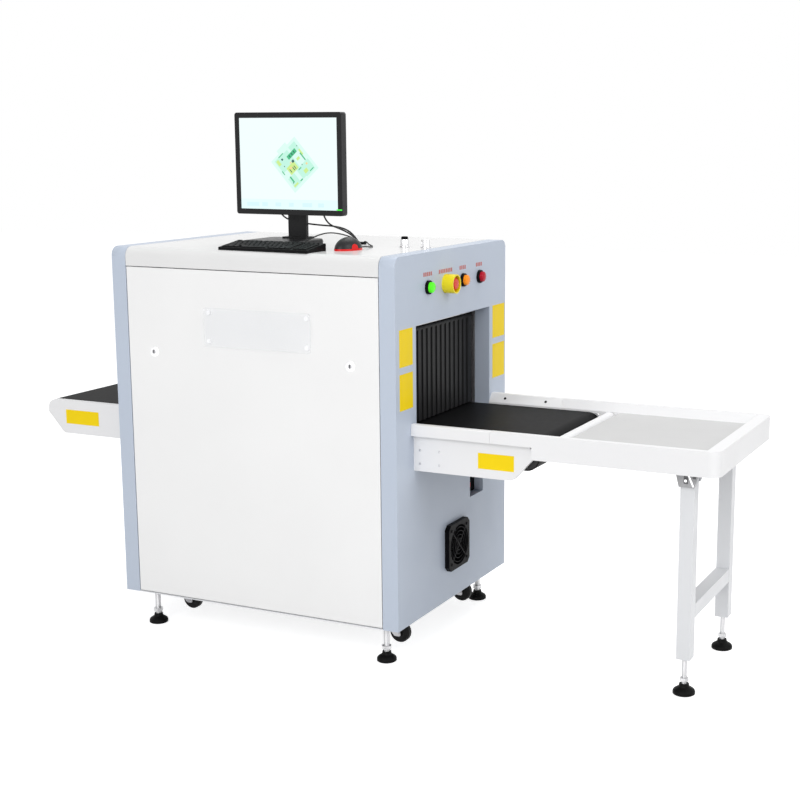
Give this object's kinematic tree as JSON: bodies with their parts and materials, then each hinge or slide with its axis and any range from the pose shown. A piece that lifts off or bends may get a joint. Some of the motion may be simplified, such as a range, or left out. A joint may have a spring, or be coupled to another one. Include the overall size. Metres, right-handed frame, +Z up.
{
  "type": "baggage x-ray scanner",
  "caption": "Cabinet x-ray scanner for bags: curtained tunnel with a belt through it, roll-off tray on a folding leg frame, and a screen, keyboard and mouse on the deck.",
  "frame": {"origin": "on the floor under the middle of the whole machine's bounding box", "axes": "+X along the belt towards the tray, +Y away from the operator's front panel, +Z up"},
  "size_m": [2.2309, 0.764, 1.577],
  "materials": {
    "acrylic": "clear, polished edges",
    "belt_rubber": "matt woven-back belt",
    "black_plastic": "fine moulded texture",
    "cap_paint": "satin powder coat, blue-grey",
    "caster_black": "moulded tread",
    "caster_steel": "pressed, zinc-plated",
    "chrome": "polished",
    "cord_black": "smooth jacket",
    "curtain_rubber": "satin lead-rubber strips",
    "drum_black": "black rubber-lagged",
    "foot_rubber": "moulded",
    "frame_paint": "satin powder coat, light grey",
    "keys_black": "fine moulded texture",
    "lens_green": "clear moulded",
    "lens_orange": "clear moulded",
    "lens_red": "clear moulded",
    "mouse_red": "smooth",
    "panel_paint": "satin powder coat, white",
    "rail_paint": "satin powder coat, light grey-white",
    "screen_black": "fine moulded texture",
    "screen_glass": "lit panel",
    "steel": "zinc-plated",
    "stop_red": "moulded",
    "stop_yellow": "moulded",
    "tray_sheet": "fine matt grey"
  },
  "bodies": {
    "cabinet": {"end_cap_right": "cap_paint", "end_cap_left": "cap_paint", "front_panel": "panel_paint", "rear_panel": "panel_paint", "top_cover": "panel_paint", "base_frame": "frame_paint", "tunnel_liner": "steel", "belt": "belt_rubber", "end_drums": "drum_black", "belt_bed": "steel", "side_plates": "rail_paint", "guard_rails": "rail_paint", "tray_frame": "rail_paint", "tray_floor": "tray_sheet", "leg_brackets": "frame_paint", "foot_stems": "steel", "foot_pads": "foot_rubber", "lamp_green": "lens_green", "lamp_orange": "lens_orange", "lamp_red": "lens_red", "lamp_bezels": "black_plastic", "stop_collar": "stop_yellow", "fan_frame": "black_plastic", "fan_guard": "black_plastic", "power_inlet": "black_plastic", "panel_locks": "chrome", "plate_standoffs": "chrome", "name_plate": "acrylic", "deck_switches": "chrome", "cable_grommet": "black_plastic", "screen_neck": "screen_black", "screen_stand": "screen_black", "keyboard": "keys_black", "mouse_shell": "screen_black", "mouse_base": "mouse_red", "screen_power_cord": "cord_black", "screen_video_cord": "cord_black", "keyboard_cord": "cord_black", "mouse_cord": "cord_black"},
    "leg_frame": {"leg_front": "frame_paint", "leg_rear": "frame_paint", "leg_crossbar": "frame_paint", "leg_foot_stems": "steel", "leg_foot_pads": "foot_rubber"},
    "roller": {"transfer_roller": "rail_paint"},
    "fan": {"fan_rotor": "black_plastic"},
    "curtain_right": {"curtain_right": "curtain_rubber"},
    "curtain_left": {"curtain_left": "curtain_rubber"},
    "screen": {"screen_housing": "screen_black", "screen_glass": "screen_glass"},
    "stop_button": {"stop_button": "stop_red"},
    "caster_right_front": {"caster_fork_right_front": "caster_steel"},
    "wheel_right_front": {"caster_wheel_right_front": "caster_black"},
    "caster_right_rear": {"caster_fork_right_rear": "caster_steel"},
    "wheel_right_rear": {"caster_wheel_right_rear": "caster_black"},
    "caster_left_front": {"caster_fork_left_front": "caster_steel"},
    "wheel_left_front": {"caster_wheel_left_front": "caster_black"},
    "caster_left_rear": {"caster_fork_left_rear": "caster_steel"},
    "wheel_left_rear": {"caster_wheel_left_rear": "caster_black"}
  },
  "joints": [
    {"name": "leg_fold", "type": "hinge", "parent": "cabinet", "child": "leg_frame", "pos_m": [1.006, 0.006, 0.62], "axis": [0, 1, 0], "range_deg": [0, 80]},
    {"name": "roller_spin", "type": "hinge", "parent": "cabinet", "child": "roller", "pos_m": [0.62, 0.006, 0.661], "axis": [0, 1, 0], "continuous": true},
    {"name": "fan_spin", "type": "hinge", "parent": "cabinet", "child": "fan", "pos_m": [0.215, 0.006, 0.28], "axis": [1, 0, 0], "continuous": true},
    {"name": "curtain_right_swing", "type": "hinge", "parent": "cabinet", "child": "curtain_right", "pos_m": [0.153, 0.006, 0.9547], "axis": [0, 1, 0], "range_deg": [-80, 80]},
    {"name": "curtain_left_swing", "type": "hinge", "parent": "cabinet", "child": "curtain_left", "pos_m": [-0.681, 0.006, 0.9547], "axis": [0, 1, 0], "range_deg": [-80, 80]},
    {"name": "screen_tilt", "type": "hinge", "parent": "cabinet", "child": "screen", "pos_m": [-0.282, -0.073, 1.4], "axis": [-1, 0, 0], "range_deg": [-5, 15]},
    {"name": "stop_push", "type": "slide", "parent": "cabinet", "child": "stop_button", "axis": [-1, 0, 0], "range_m": [0, 0.004]},
    {"name": "caster_swivel_right_front", "type": "hinge", "parent": "cabinet", "child": "caster_right_front", "pos_m": [0.11, -0.208, 0.093], "axis": [0, 0, 1], "continuous": true},
    {"name": "wheel_spin_right_front", "type": "hinge", "parent": "caster_right_front", "child": "wheel_right_front", "pos_m": [0.137, -0.208, 0.056], "axis": [0, 1, 0], "continuous": true},
    {"name": "caster_swivel_right_rear", "type": "hinge", "parent": "cabinet", "child": "caster_right_rear", "pos_m": [0.11, 0.22, 0.093], "axis": [0, 0, 1], "continuous": true},
    {"name": "wheel_spin_right_rear", "type": "hinge", "parent": "caster_right_rear", "child": "wheel_right_rear", "pos_m": [0.137, 0.22, 0.056], "axis": [0, 1, 0], "continuous": true},
    {"name": "caster_swivel_left_front", "type": "hinge", "parent": "cabinet", "child": "caster_left_front", "pos_m": [-0.638, -0.208, 0.093], "axis": [0, 0, 1], "continuous": true},
    {"name": "wheel_spin_left_front", "type": "hinge", "parent": "caster_left_front", "child": "wheel_left_front", "pos_m": [-0.611, -0.208, 0.056], "axis": [0, 1, 0], "continuous": true},
    {"name": "caster_swivel_left_rear", "type": "hinge", "parent": "cabinet", "child": "caster_left_rear", "pos_m": [-0.638, 0.22, 0.093], "axis": [0, 0, 1], "continuous": true},
    {"name": "wheel_spin_left_rear", "type": "hinge", "parent": "caster_left_rear", "child": "wheel_left_rear", "pos_m": [-0.611, 0.22, 0.056], "axis": [0, 1, 0], "continuous": true}
  ]
}
